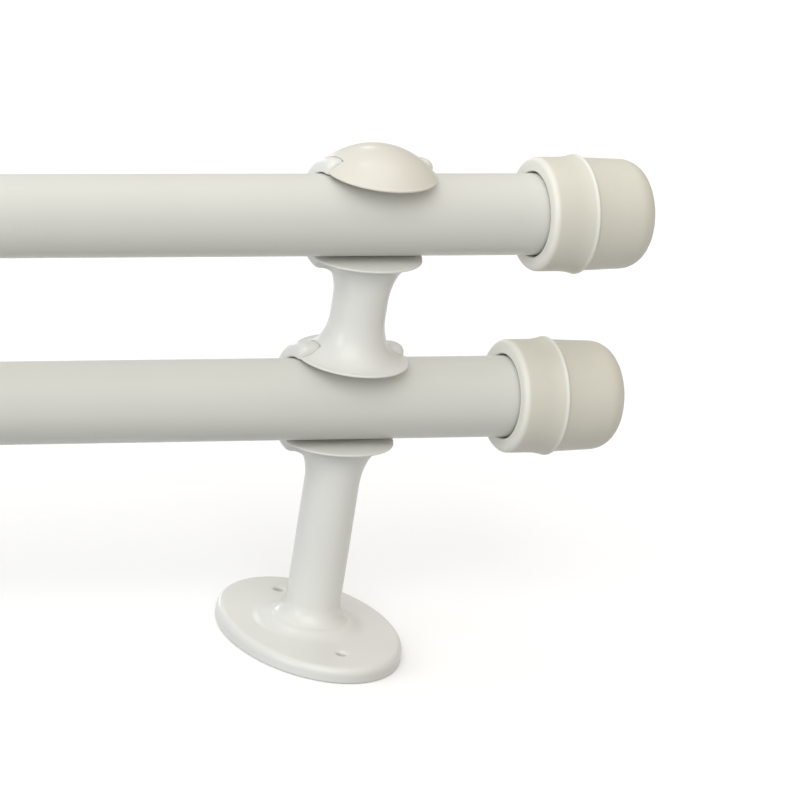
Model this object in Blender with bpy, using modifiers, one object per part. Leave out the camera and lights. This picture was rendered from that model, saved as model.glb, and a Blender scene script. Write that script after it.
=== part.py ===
"""Double curtain rod on two post brackets.

Two parallel round tubes run along X.  Each bracket is a post that stands on an
oval foot plate: its trumpet top carries a half-round cradle for the lower rod,
an extension arm on that cradle carries the upper one, and a domed cap closes
the post.  The cradles are open towards -Y.  Every rod end has a moulded cap
that a ribbed plug holds in the tube.

Units are metres, +Z runs up along the posts, and the origin is the middle of
the ground plane that both foot plates stand on.
"""

import math

import bmesh
import bpy
from mathutils import Matrix

# ---- driving dimensions ---------------------------------------------------
MM = 0.001
GAP = 0.3 * MM                      # clearance that every touching pair keeps

BRACKET_SPACING = 800 * MM          # between the two post axes
ROD_LENGTH = 980 * MM
ROD_RADIUS = 14.25 * MM
ROD_WALL = 1.25 * MM
LOWER_ROD_Z = 90.0 * MM
ROD_SPACING = 68.3 * MM             # lower rod axis to upper rod axis

PLATE_HALF_X = 31.0 * MM
PLATE_HALF_Y = 42.1 * MM
PLATE_THICKNESS = 6.0 * MM
PLATE_EDGE_ROUND = 1.9 * MM
WALL_HOLE_OFFSET = 28.5 * MM        # from the post axis, along Y
WALL_HOLE_RADIUS = 1.75 * MM
WALL_HOLE_SINK_RADIUS = 2.6 * MM
WALL_HOLE_SINK_DEPTH = 0.8 * MM

POST_RADIUS = 9.65 * MM
FOOT_RADIUS = 13.0 * MM             # where the post flares into the plate
FOOT_FLARE_HEIGHT = 9.0 * MM
TRUMPET_RADIUS = 20.15 * MM
TRUMPET_FLARE_HEIGHT = 15.0 * MM
TRUMPET_LIP = 0.9 * MM              # thickness of a trumpet's rim
LIP_ROUND = 0.4 * MM

CRADLE_RADIUS = 20.0 * MM
CRADLE_BORE = 14.65 * MM
CRADLE_HALF_LENGTH = 20.3 * MM
CRADLE_END_ROUND = 3.0 * MM
CRADLE_LIP_REACH = 1.0 * MM         # how far the shell's lips pass the rod axis
LEDGE_DROP = 14.85 * MM             # rod axis down to the trumpet's flat top
HOOD_RISE = 15.4 * MM               # rod axis up to the rim of what sits above
CROWN_BOSS_RADIUS = 9.0 * MM        # screw boss on the crown of a cradle

DOME_HEIGHT = 9.5 * MM
DOME_LIP = 1.0 * MM

TIE_SCREW_RADIUS = 2.5 * MM         # M5 countersunk, holds an arm or a dome down
TIE_HEAD_RADIUS = 4.6 * MM
TIE_HEAD_HEIGHT = 2.4 * MM
TIE_SCREW_LENGTH = 8.4 * MM
TIE_SOCKET_RADIUS = 1.7 * MM
TIE_SOCKET_DEPTH = 1.5 * MM

LOCK_SCREW_RADIUS = 2.0 * MM        # M4 pan head, clamps a rod from behind
LOCK_HEAD_RADIUS = 3.8 * MM
LOCK_HEAD_HEIGHT = 2.8 * MM
LOCK_HEAD_ROUND = 1.2 * MM
LOCK_SLOT_LENGTH = 4.4 * MM
LOCK_SLOT_WIDTH = 0.9 * MM
LOCK_SLOT_DEPTH = 1.3 * MM
LOCK_BOSS_RADIUS = 5.6 * MM
LOCK_BOSS_FACE = 21.4 * MM          # rod axis to the flat that takes the head

CAP_OVERHANG = 60.5 * MM            # post axis to the mouth of a cap
CAP_LENGTH = 42.6 * MM
CAP_RADIUS = 19.95 * MM
CAP_TAIL_RADIUS = 19.8 * MM
CAP_TAIL_TAPER = 0.6 * MM           # how much the tail narrows towards its end
CAP_BEAD_RADIUS = 21.15 * MM
CAP_BEAD_PLACE = 16.2 * MM          # from the mouth to the bead's crest
CAP_BEAD_RAMP = 7.0 * MM            # long rise on the mouth side
CAP_BEAD_STEP = 1.4 * MM            # short fall on the tail side
CAP_MOUTH_BORE = 14.9 * MM
CAP_MOUTH_DEPTH = 11 * MM
CAP_MOUTH_CONE = 2 * MM
CAP_MOUTH_ROUND = 2.0 * MM          # outside
CAP_MOUTH_INNER_ROUND = 0.6 * MM
CAP_SOCKET_DEPTH = 35 * MM
CAP_END_ROUND = 8.5 * MM
CAP_END_CROWN = 0.8 * MM            # how far the closed end bulges
CAP_PEG_RADIUS = 3.6 * MM           # peg inside the cap that the plug grips
CAP_PEG_LENGTH = 14 * MM

PLUG_LENGTH = 20 * MM               # part of the plug inside the tube
PLUG_RIBS = 4
PLUG_RIB_DEPTH = 0.8 * MM
PLUG_COLLAR_RADIUS = 13.6 * MM
PLUG_COLLAR_LENGTH = 3.2 * MM

ROUND_STEPS = 24                    # facets round a turned piece
OVAL_STEPS = 40                     # facets round the foot plate
SMALL_STEPS = 16                    # facets round a screw or a plug
SEAT_STEPS = 18                     # facets along a cradle's half-round seat
HEX_STEPS = 6
ARC_STEPS = 2                       # facets along a rounded edge
FLARE_STEPS = 5                     # facets along a flare or a dome
WELD_DISTANCE = 0.00001
SHARP_ANGLE = math.radians(35)
REACH = 60 * MM                     # how far a cutter runs past what it cuts

# ---- surfaces: colour, roughness, metallic --------------------------------
WHITE_ENAMEL = ((0.80, 0.80, 0.75), 0.30, 0.0)
CREAM_PLASTIC = ((0.74, 0.71, 0.62), 0.38, 0.0)
GREY_PLASTIC = ((0.42, 0.42, 0.40), 0.50, 0.0)
ZINC_STEEL = ((0.60, 0.60, 0.58), 0.35, 1.0)

HALF_FACET = Matrix.Rotation(math.pi / SMALL_STEPS, 4, "Z")
TURN_X = Matrix.Rotation(math.radians(90), 4, "Y")     # +Z comes to lie along +X
LEVEL_X = TURN_X @ Matrix.Rotation(math.pi / ROUND_STEPS, 4, "Z")  # with a facet on top
TURN_Y = Matrix.Rotation(math.radians(-90), 4, "X")    # +Z comes to lie along +Y


# ---- scene ----------------------------------------------------------------
def clear_scene():
    """Remove whatever the file holds, so that only this model is built."""
    for leftover in list(bpy.data.objects):
        bpy.data.objects.remove(leftover, do_unlink=True)


def new_collection(name):
    """Make a collection and link it to the scene."""
    collection = bpy.data.collections.new(name)
    bpy.context.scene.collection.children.link(collection)
    return collection


def new_material(name, surface):
    """Make a plain Principled material."""
    colour, roughness, metallic = surface
    material = bpy.data.materials.new(name)
    material.use_nodes = True
    shader = material.node_tree.nodes["Principled BSDF"]
    shader.inputs["Base Color"].default_value = (*colour, 1.0)
    shader.inputs["Roughness"].default_value = roughness
    shader.inputs["Metallic"].default_value = metallic
    return material


# ---- outlines, as (radius, height) points from top to bottom --------------
def arc(centre, radius, start, end, steps=ARC_STEPS):
    """Points on an arc, between two angles in degrees from the radius axis."""
    points = []
    for step in range(steps + 1):
        angle = math.radians(start + (end - start) * step / steps)
        across = centre[0] + radius * math.cos(angle)
        along = centre[1] + radius * math.sin(angle)
        points.append((across, along))
    return points


def flare(narrow, wide):
    """Concave quarter ellipse that leaves narrow upright and meets wide flat."""
    points = []
    for step in range(FLARE_STEPS + 1):
        angle = math.radians(90 * step / FLARE_STEPS)
        across = wide[0] - (wide[0] - narrow[0]) * math.cos(angle)
        along = narrow[1] + (wide[1] - narrow[1]) * math.sin(angle)
        points.append((across, along))
    return points


def trumpet_lip(height, points_up):
    """Rounded rim of a trumpet, below its flat top or above its flat underside."""
    inner = TRUMPET_RADIUS - LIP_ROUND
    if points_up:
        corner = (inner, height - LIP_ROUND)
        return arc(corner, LIP_ROUND, 90, 0)
    corner = (inner, height + LIP_ROUND)
    return arc(corner, LIP_ROUND, 0, -90)


# ---- building blocks ------------------------------------------------------
def wrap(name, mesh):
    """Put a mesh in an object, shaded smooth with its real edges kept sharp."""
    mesh.shade_smooth()
    mesh.set_sharp_from_angle(angle=SHARP_ANGLE)
    piece = bpy.data.objects.new(name, mesh)
    WORKSHOP.objects.link(piece)
    return piece


def settle(source, name, transform):
    """Replace an object by its evaluated mesh, moved by a transform."""
    graph = bpy.context.evaluated_depsgraph_get()
    mesh = bpy.data.meshes.new_from_object(source.evaluated_get(graph))
    bpy.data.objects.remove(source, do_unlink=True)
    mesh.transform(transform)
    return wrap(name, mesh)


def turned(name, outline, transform=Matrix.Identity(4), steps=ROUND_STEPS, ring=False):
    """Turn an outline about +Z, then move the result by a transform."""
    mesh = bpy.data.meshes.new(name)
    edges = [(index, index + 1) for index in range(len(outline) - 1)]
    if ring:
        edges.append((len(outline) - 1, 0))
    mesh.from_pydata([(radius, 0, height) for radius, height in outline], edges, [])
    profile = bpy.data.objects.new(name, mesh)
    WORKSHOP.objects.link(profile)
    screw = profile.modifiers.new("turn", "SCREW")
    screw.steps = steps
    screw.render_steps = steps
    screw.use_merge_vertices = True
    screw.merge_threshold = WELD_DISTANCE
    return settle(profile, name, transform)


def rod_shape(radius, low, high, transform=Matrix.Identity(4), steps=ROUND_STEPS):
    """Solid cylinder between two heights on its axis."""
    outline = [(0, high), (radius, high), (radius, low), (0, low)]
    return turned("cylinder", outline, transform, steps)


def block(low, high):
    """Box between two corners."""
    shape = bmesh.new()
    bmesh.ops.create_cube(shape, size=1)
    size = [b - a for a, b in zip(low, high)]
    middle = [(a + b) / 2 for a, b in zip(low, high)]
    bmesh.ops.scale(shape, vec=size, verts=shape.verts)
    bmesh.ops.translate(shape, vec=middle, verts=shape.verts)
    mesh = bpy.data.meshes.new("block")
    shape.to_mesh(mesh)
    shape.free()
    return wrap("block", mesh)


def extruded(name, outline, half_length):
    """Prism along X with a flat outline of (y, z) points."""
    shape = bmesh.new()
    end = shape.faces.new([shape.verts.new((-half_length, y, z)) for y, z in outline])
    sweep = bmesh.ops.extrude_face_region(shape, geom=[end])
    moved = [item for item in sweep["geom"] if isinstance(item, bmesh.types.BMVert)]
    bmesh.ops.translate(shape, vec=(2 * half_length, 0, 0), verts=moved)
    bmesh.ops.recalc_face_normals(shape, faces=shape.faces)
    mesh = bpy.data.meshes.new(name)
    shape.to_mesh(mesh)
    shape.free()
    return wrap(name, mesh)


def combine(target, tool, operation):
    """Join target with tool, or cut it, and use the tool up."""
    boolean = target.modifiers.new("combine", "BOOLEAN")
    boolean.operation = operation
    boolean.solver = "EXACT"
    boolean.object = tool
    result = settle(target, target.name, Matrix.Identity(4))
    bpy.data.objects.remove(tool, do_unlink=True)
    return result


def join(target, *tools):
    """Unite several solids into one body."""
    for tool in tools:
        target = combine(target, tool, "UNION")
    return target


def cut(target, *tools):
    """Take several cutters out of a solid."""
    for tool in tools:
        target = combine(target, tool, "DIFFERENCE")
    return target


# ---- cradle features, at a rod axis that crosses the post -----------------
def cradle_shell(rod_z):
    """Half-round shell behind the rod, solid until the rod's channel is cut."""
    shoulder = CRADLE_HALF_LENGTH - CRADLE_END_ROUND
    rim = CRADLE_RADIUS - CRADLE_END_ROUND
    outline = [(0, CRADLE_HALF_LENGTH)]
    outline += arc((rim, shoulder), CRADLE_END_ROUND, 90, 0)
    outline += arc((rim, -shoulder), CRADLE_END_ROUND, 0, -90)
    outline += [(0, -CRADLE_HALF_LENGTH)]
    barrel = turned("cradle", outline, Matrix.Translation((0, 0, rod_z)) @ LEVEL_X)
    front = block((-REACH, -REACH, rod_z - REACH), (REACH, -CRADLE_LIP_REACH, rod_z + REACH))
    return cut(barrel, front)


def crown_boss(rod_z):
    """Round boss on the cradle's crown, which the tie screw goes through."""
    return rod_shape(CROWN_BOSS_RADIUS, rod_z, rod_z + CRADLE_RADIUS - GAP)


def lock_boss(rod_z):
    """Flat-faced boss on the cradle's back, which takes the lock screw."""
    low = CRADLE_BORE + GAP
    return rod_shape(LOCK_BOSS_RADIUS, low, LOCK_BOSS_FACE, at_back(rod_z), SMALL_STEPS)


def at_back(rod_z):
    """Placement that lays +Z along +Y, starting from a rod's axis."""
    return Matrix.Translation((0, 0, rod_z)) @ TURN_Y


def rod_channel(rod_z):
    """Cutter for the rod's round seat, open all the way towards -Y."""
    outline = arc((0, rod_z), CRADLE_BORE, -90, 90, SEAT_STEPS)
    outline += [(-REACH, rod_z + CRADLE_BORE), (-REACH, rod_z - CRADLE_BORE)]
    return extruded("channel", outline, REACH)


def tie_screw_passage(rod_z):
    """Countersunk clearance hole up through a cradle's crown."""
    head_low = rod_z + CRADLE_BORE
    head_high = head_low + GAP + TIE_HEAD_HEIGHT
    shank = TIE_SCREW_RADIUS + GAP
    outline = [
        (0, rod_z + CRADLE_RADIUS + GAP),
        (shank, rod_z + CRADLE_RADIUS + GAP),
        (shank, head_high),
        (TIE_HEAD_RADIUS + GAP, head_low + GAP),
        (TIE_HEAD_RADIUS + GAP, rod_z),
        (0, rod_z),
    ]
    return turned("passage", outline, HALF_FACET, SMALL_STEPS)


def lock_screw_hole(rod_z):
    """Hole along Y from the boss's face to the rod's seat."""
    radius = LOCK_SCREW_RADIUS + GAP
    place = at_back(rod_z) @ HALF_FACET
    return rod_shape(radius, 0, CRADLE_RADIUS + REACH, place, SMALL_STEPS)


def add_cradle(body, rod_z):
    """Grow a cradle with its bosses and holes on a post."""
    body = join(body, cradle_shell(rod_z), crown_boss(rod_z), lock_boss(rod_z))
    return cut(body, rod_channel(rod_z), tie_screw_passage(rod_z), lock_screw_hole(rod_z))


def seat_on_cradle(body, rod_z):
    """Hollow the underside of a piece so that it fits over a cradle's crown."""
    reach_up = CRADLE_RADIUS + GAP
    place = Matrix.Translation((0, 0, rod_z)) @ LEVEL_X
    saddle = rod_shape(reach_up, -REACH, REACH, place)
    lip = -CRADLE_LIP_REACH - GAP
    front = block((-2 * REACH, -REACH, rod_z - REACH), (2 * REACH, lip, rod_z + REACH))
    saddle = cut(saddle, front)
    pocket = rod_shape(CROWN_BOSS_RADIUS + GAP, rod_z, rod_z + CRADLE_RADIUS)
    thread_top = rod_z + CRADLE_BORE + GAP + TIE_SCREW_LENGTH + GAP
    thread = rod_shape(TIE_SCREW_RADIUS + GAP, rod_z, thread_top, HALF_FACET, SMALL_STEPS)
    return cut(body, saddle, pocket, thread)


# ---- bracket pieces, around a post axis at x = y = 0 ----------------------
def trumpet_top(rod_z):
    """Outline from a trumpet's flat top down to the plain post below it."""
    top = rod_z - LEDGE_DROP
    lip_low = top - TRUMPET_LIP
    outline = [(0, top)]
    outline += trumpet_lip(top, True)
    outline += reversed(flare((POST_RADIUS, lip_low - TRUMPET_FLARE_HEIGHT), (TRUMPET_RADIUS, lip_low)))
    return outline


def base_bracket():
    """Foot plate, post, trumpet and lower cradle, cast in one piece."""
    shoulder = PLATE_HALF_Y - PLATE_EDGE_ROUND
    outline = [(0, PLATE_THICKNESS)]
    outline += arc((shoulder, PLATE_THICKNESS - PLATE_EDGE_ROUND), PLATE_EDGE_ROUND, 90, 0)
    outline += [(PLATE_HALF_Y, 0), (0, 0)]
    squeeze = Matrix.Diagonal((PLATE_HALF_X / PLATE_HALF_Y, 1, 1, 1))
    plate = turned("base_bracket", outline, squeeze, OVAL_STEPS)

    outline = trumpet_top(LOWER_ROD_Z)
    foot_top = PLATE_THICKNESS + FOOT_FLARE_HEIGHT
    outline += flare((POST_RADIUS, foot_top), (FOOT_RADIUS, PLATE_THICKNESS))
    buried = PLATE_THICKNESS / 2
    outline += [(FOOT_RADIUS, buried), (0, buried)]
    body = add_cradle(join(plate, turned("post", outline)), LOWER_ROD_Z)

    for side in (-1, 1):
        sink_low = PLATE_THICKNESS - WALL_HOLE_SINK_DEPTH
        hole = [
            (0, REACH),
            (WALL_HOLE_SINK_RADIUS, REACH),
            (WALL_HOLE_SINK_RADIUS, PLATE_THICKNESS),
            (WALL_HOLE_RADIUS, sink_low),
            (WALL_HOLE_RADIUS, -REACH),
            (0, -REACH),
        ]
        place = Matrix.Translation((0, side * WALL_HOLE_OFFSET, 0))
        body = cut(body, turned("wall_hole", hole, place, SMALL_STEPS))
    return body


def extension_arm(upper_z):
    """Double trumpet that stands on the lower cradle and carries the upper one."""
    low = LOWER_ROD_Z + HOOD_RISE
    lip_high = low + TRUMPET_LIP
    outline = trumpet_top(upper_z)
    outline += flare((POST_RADIUS, lip_high + TRUMPET_FLARE_HEIGHT), (TRUMPET_RADIUS, lip_high))
    outline += trumpet_lip(low, False)
    outline += [(0, low)]
    body = add_cradle(turned("extension_arm", outline), upper_z)
    return seat_on_cradle(body, LOWER_ROD_Z)


def dome_cap(rod_z):
    """Lens-shaped cap that closes the post above the upper cradle."""
    low = rod_z + HOOD_RISE
    rise = DOME_HEIGHT - DOME_LIP
    sphere = (TRUMPET_RADIUS ** 2 + rise ** 2) / (2 * rise)
    half_angle = math.degrees(math.asin(TRUMPET_RADIUS / sphere))
    outline = arc((0, low + DOME_HEIGHT - sphere), sphere, 90, 90 - half_angle, FLARE_STEPS)
    outline += trumpet_lip(low, False)
    outline += [(0, low)]
    return seat_on_cradle(turned("dome_cap", outline), rod_z)


def tie_screw():
    """Countersunk screw standing on its head, with the thread upwards."""
    outline = [
        (0, TIE_SCREW_LENGTH),
        (TIE_SCREW_RADIUS, TIE_SCREW_LENGTH),
        (TIE_SCREW_RADIUS, TIE_HEAD_HEIGHT),
        (TIE_HEAD_RADIUS, 0),
        (0, 0),
    ]
    screw = turned("tie_screw", outline, HALF_FACET, SMALL_STEPS)
    socket = rod_shape(TIE_SOCKET_RADIUS, -REACH, TIE_SOCKET_DEPTH, steps=HEX_STEPS)
    return cut(screw, socket)


def lock_screw():
    """Pan-head screw along +Y; its origin is on the axis of the rod it clamps."""
    tip = ROD_RADIUS + GAP
    seat = LOCK_BOSS_FACE + GAP
    top = seat + LOCK_HEAD_HEIGHT
    corner = (LOCK_HEAD_RADIUS - LOCK_HEAD_ROUND, top - LOCK_HEAD_ROUND)
    outline = [(0, top)]
    outline += arc(corner, LOCK_HEAD_ROUND, 90, 0)
    outline += [
        (LOCK_HEAD_RADIUS, seat),
        (LOCK_SCREW_RADIUS, seat),
        (LOCK_SCREW_RADIUS, tip),
        (0, tip),
    ]
    screw = turned("lock_screw", outline, TURN_Y, SMALL_STEPS)
    long = LOCK_SLOT_LENGTH / 2
    thin = LOCK_SLOT_WIDTH / 2
    floor = top - LOCK_SLOT_DEPTH
    upright = block((-thin, floor, -long), (thin, top + REACH, long))
    level = block((-long, floor, -thin), (long, top + REACH, thin))
    return cut(screw, join(upright, level))


# ---- rod pieces, along +X --------------------------------------------------
def tube():
    """Round tube, open at both ends."""
    half = ROD_LENGTH / 2
    bore = ROD_RADIUS - ROD_WALL
    outline = [(ROD_RADIUS, half), (ROD_RADIUS, -half), (bore, -half), (bore, half)]
    return turned("rod", outline, TURN_X, ring=True)


def bead_outline():
    """Raised ring round the cap, from the tail side to the mouth side."""
    crest = CAP_BEAD_RADIUS
    return [
        (CAP_TAIL_RADIUS, CAP_BEAD_PLACE + CAP_BEAD_STEP),
        (crest - GAP, CAP_BEAD_PLACE + CAP_BEAD_STEP / 2),
        (crest, CAP_BEAD_PLACE),
        (CAP_RADIUS + GAP, CAP_BEAD_PLACE - CAP_BEAD_RAMP / 2),
        (CAP_RADIUS, CAP_BEAD_PLACE - CAP_BEAD_RAMP),
    ]


def end_cap():
    """Moulded cap with a bead, a wide mouth and a peg; its mouth is at x = 0."""
    end_radius = CAP_TAIL_RADIUS - CAP_TAIL_TAPER
    end_corner = (end_radius - CAP_END_ROUND, CAP_LENGTH - CAP_END_CROWN - CAP_END_ROUND)
    mouth_outer = (CAP_RADIUS - CAP_MOUTH_ROUND, CAP_MOUTH_ROUND)
    mouth_inner = (CAP_MOUTH_BORE + CAP_MOUTH_INNER_ROUND, CAP_MOUTH_INNER_ROUND)
    socket_bore = ROD_RADIUS + GAP
    outline = [(0, CAP_LENGTH)]
    outline += arc(end_corner, CAP_END_ROUND, 90, 0, FLARE_STEPS)
    outline += bead_outline()
    outline += arc(mouth_outer, CAP_MOUTH_ROUND, 0, -90)
    outline += arc(mouth_inner, CAP_MOUTH_INNER_ROUND, -90, -180)
    outline += [
        (CAP_MOUTH_BORE, CAP_MOUTH_DEPTH),
        (socket_bore, CAP_MOUTH_DEPTH + CAP_MOUTH_CONE),
        (socket_bore, CAP_SOCKET_DEPTH),
        (CAP_PEG_RADIUS, CAP_SOCKET_DEPTH),
        (CAP_PEG_RADIUS, CAP_SOCKET_DEPTH - CAP_PEG_LENGTH),
        (0, CAP_SOCKET_DEPTH - CAP_PEG_LENGTH),
    ]
    return turned("end_cap", outline, TURN_X)


def rod_plug():
    """Ribbed plug; the tube's end butts on its collar at x = 0."""
    crest = ROD_RADIUS - ROD_WALL - GAP
    groove = crest - PLUG_RIB_DEPTH
    hole = CAP_PEG_RADIUS + GAP
    pitch = PLUG_LENGTH / PLUG_RIBS
    outline = [
        (hole, GAP + PLUG_COLLAR_LENGTH),
        (PLUG_COLLAR_RADIUS, GAP + PLUG_COLLAR_LENGTH),
        (PLUG_COLLAR_RADIUS, GAP),
        (groove, GAP),
    ]
    for rib in range(PLUG_RIBS):
        start = -pitch * (rib + 0.5)
        outline += [(groove, start), (crest, start - GAP), (groove, start - pitch / 2)]
    outline += [(groove, -PLUG_LENGTH), (hole, -PLUG_LENGTH)]
    return turned("rod_plug", outline, TURN_X, SMALL_STEPS, ring=True)


# ---- assembly --------------------------------------------------------------
def empty(name, place):
    """Empty that holds the pieces of one bracket."""
    holder = bpy.data.objects.new(name, None)
    holder.location = place
    PRODUCT.objects.link(holder)
    return holder


def put(name, pattern, parent, place=(0, 0, 0), turn=0.0):
    """Place a copy of a pattern piece, turned about Z, under a parent."""
    piece = bpy.data.objects.new(name, pattern.data)
    piece.location = place
    piece.rotation_euler = (0, 0, turn)
    piece.parent = parent
    PRODUCT.objects.link(piece)
    return piece


def finished(pattern, material):
    """Give a pattern piece its material."""
    pattern.data.materials.clear()
    pattern.data.materials.append(material)
    return pattern


def build():
    """Make each pattern piece once, and place its copies."""
    upper_z = LOWER_ROD_Z + ROD_SPACING
    enamel = new_material("white_enamel", WHITE_ENAMEL)
    steel = new_material("zinc_steel", ZINC_STEEL)
    base = finished(base_bracket(), enamel)
    arm = finished(extension_arm(upper_z), enamel)
    dome = finished(dome_cap(upper_z), enamel)
    tie = finished(tie_screw(), steel)
    lock = finished(lock_screw(), steel)
    rod = finished(tube(), new_material("rod_enamel", WHITE_ENAMEL))
    cap = finished(end_cap(), new_material("cream_plastic", CREAM_PLASTIC))
    plug = finished(rod_plug(), new_material("grey_plastic", GREY_PLASTIC))

    rods = {
        "lower": put("lower_rod", rod, None, (0, 0, LOWER_ROD_Z)),
        "upper": put("upper_rod", rod, None, (0, 0, upper_z)),
    }
    screw_rise = CRADLE_BORE + GAP
    mouth = BRACKET_SPACING / 2 + CAP_OVERHANG
    for side, sign, turn in (("right", 1, 0.0), ("left", -1, math.pi)):
        holder = empty(side + "_bracket", (sign * BRACKET_SPACING / 2, 0, 0))
        put(side + "_base_bracket", base, holder)
        put(side + "_extension_arm", arm, holder)
        put(side + "_dome_cap", dome, holder)
        put(side + "_arm_screw", tie, holder, (0, 0, LOWER_ROD_Z + screw_rise))
        put(side + "_dome_screw", tie, holder, (0, 0, upper_z + screw_rise))
        put(side + "_lower_lock_screw", lock, holder, (0, 0, LOWER_ROD_Z))
        put(side + "_upper_lock_screw", lock, holder, (0, 0, upper_z))
        for level, line in rods.items():
            put(f"{side}_{level}_end_cap", cap, line, (sign * mouth, 0, 0), turn)
            put(f"{side}_{level}_rod_plug", plug, line, (sign * ROD_LENGTH / 2, 0, 0), turn)

    for pattern in list(WORKSHOP.objects):
        bpy.data.objects.remove(pattern, do_unlink=True)
    bpy.data.collections.remove(WORKSHOP)


clear_scene()
PRODUCT = new_collection("double_curtain_rod")
WORKSHOP = new_collection("pattern_pieces")
build()
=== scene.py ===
"""Looks of the double curtain rod: fine shapes, finishes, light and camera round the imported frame.

The cast pieces (base bracket, extension arm, dome) are distance fields: plain shapes that melt
into each other with small fillets, as a casting does, and are meshed by surface nets.  Rods, caps,
plugs and screws are turned from smooth outlines.  All lengths are metres in the frame's axes.
"""

import math

import bmesh
import bpy
import numpy as np
from mathutils import Matrix, Vector


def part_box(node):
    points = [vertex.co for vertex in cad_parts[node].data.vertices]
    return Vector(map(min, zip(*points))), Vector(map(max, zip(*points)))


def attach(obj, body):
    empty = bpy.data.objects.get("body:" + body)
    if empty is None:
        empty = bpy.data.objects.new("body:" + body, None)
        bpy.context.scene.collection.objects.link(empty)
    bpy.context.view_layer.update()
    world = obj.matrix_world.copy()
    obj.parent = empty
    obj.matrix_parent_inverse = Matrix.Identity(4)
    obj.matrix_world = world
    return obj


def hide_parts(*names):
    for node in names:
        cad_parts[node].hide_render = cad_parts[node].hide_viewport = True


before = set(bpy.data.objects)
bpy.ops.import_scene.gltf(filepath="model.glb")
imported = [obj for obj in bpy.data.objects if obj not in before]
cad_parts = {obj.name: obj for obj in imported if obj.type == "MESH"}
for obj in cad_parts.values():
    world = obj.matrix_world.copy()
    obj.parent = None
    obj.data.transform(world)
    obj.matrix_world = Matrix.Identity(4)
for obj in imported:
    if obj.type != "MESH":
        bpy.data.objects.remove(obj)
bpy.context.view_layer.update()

MM = 0.001
SIDES = {"right": 1, "left": -1}
LEVELS = ("lower", "upper")


# ---- sizes read from the frame ---------------------------------------------
def middle(node, axis):
    """Middle of a CAD node's box along one axis."""
    low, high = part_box(node)
    return (low[axis] + high[axis]) / 2


def extent(node, axis):
    """Length of a CAD node's box along one axis."""
    low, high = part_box(node)
    return high[axis] - low[axis]


ROD_Z = {level: middle(level + "_rod", 2) for level in LEVELS}
ROD_RADIUS = extent("lower_rod", 2) / 2
ROD_HALF = extent("lower_rod", 0) / 2
POST_X = middle("right_base_bracket", 0)
PLATE_HALF_X = extent("right_base_bracket", 0) / 2
PLATE_HALF_Y = extent("right_base_bracket", 1) / 2
CAP_MOUTH_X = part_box("right_lower_end_cap")[0][0]
CAP_LENGTH = extent("right_lower_end_cap", 0)
DOME_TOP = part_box("right_dome_cap")[1][2]

# ---- sizes shared with the CAD source --------------------------------------
GAP = 0.3 * MM                      # left between two pieces
ROD_WALL = 1.25 * MM
PLATE_THICKNESS = 6.0 * MM
WALL_HOLE_OFFSET = 28.5 * MM
WALL_HOLE_RADIUS = 1.75 * MM
WALL_HOLE_SINK_RADIUS = 2.6 * MM
WALL_HOLE_SINK_DEPTH = 0.8 * MM
POST_RADIUS = 9.65 * MM
FOOT_RADIUS = 13.0 * MM
FOOT_FLARE_HEIGHT = 9.0 * MM
TRUMPET_RADIUS = 20.15 * MM
TRUMPET_FLARE_HEIGHT = 15.0 * MM
TRUMPET_LIP = 0.9 * MM
CRADLE_RADIUS = 20.0 * MM
CRADLE_BORE = 14.65 * MM
CRADLE_HALF_LENGTH = 20.3 * MM
CRADLE_LIP_REACH = 1.0 * MM
LEDGE_DROP = 14.85 * MM
HOOD_RISE = 15.4 * MM
CROWN_BOSS_RADIUS = 9.0 * MM
DOME_LIP = 1.0 * MM
TIE_SCREW_RADIUS = 2.5 * MM
TIE_HEAD_RADIUS = 4.6 * MM
TIE_HEAD_HEIGHT = 2.4 * MM
TIE_SCREW_LENGTH = 8.4 * MM
TIE_SOCKET_RADIUS = 1.7 * MM
TIE_SOCKET_DEPTH = 1.5 * MM
LOCK_SCREW_RADIUS = 2.0 * MM
LOCK_HEAD_RADIUS = 3.8 * MM
LOCK_HEAD_HEIGHT = 2.8 * MM
LOCK_HEAD_ROUND = 1.2 * MM
LOCK_SLOT_LENGTH = 4.4 * MM
LOCK_SLOT_WIDTH = 0.9 * MM
LOCK_SLOT_DEPTH = 1.3 * MM
LOCK_BOSS_RADIUS = 5.6 * MM
LOCK_BOSS_FACE = 21.4 * MM
CAP_RADIUS = 19.95 * MM
CAP_TAIL_RADIUS = 19.8 * MM
CAP_TAIL_TAPER = 0.6 * MM
CAP_BEAD_PLACE = 16.2 * MM
CAP_BEAD_RAMP = 7.0 * MM
CAP_BEAD_STEP = 1.4 * MM
CAP_MOUTH_BORE = 14.9 * MM
CAP_MOUTH_DEPTH = 11 * MM
CAP_MOUTH_CONE = 2 * MM
CAP_MOUTH_ROUND = 2.0 * MM
CAP_MOUTH_INNER_ROUND = 0.6 * MM
CAP_SOCKET_DEPTH = 35 * MM
CAP_END_ROUND = 8.5 * MM
CAP_END_CROWN = 0.8 * MM
CAP_PEG_RADIUS = 3.6 * MM
CAP_PEG_LENGTH = 14 * MM
PLUG_LENGTH = 20 * MM
PLUG_RIBS = 4
PLUG_RIB_DEPTH = 0.8 * MM
PLUG_COLLAR_RADIUS = 13.6 * MM
PLUG_COLLAR_LENGTH = 3.2 * MM

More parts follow.
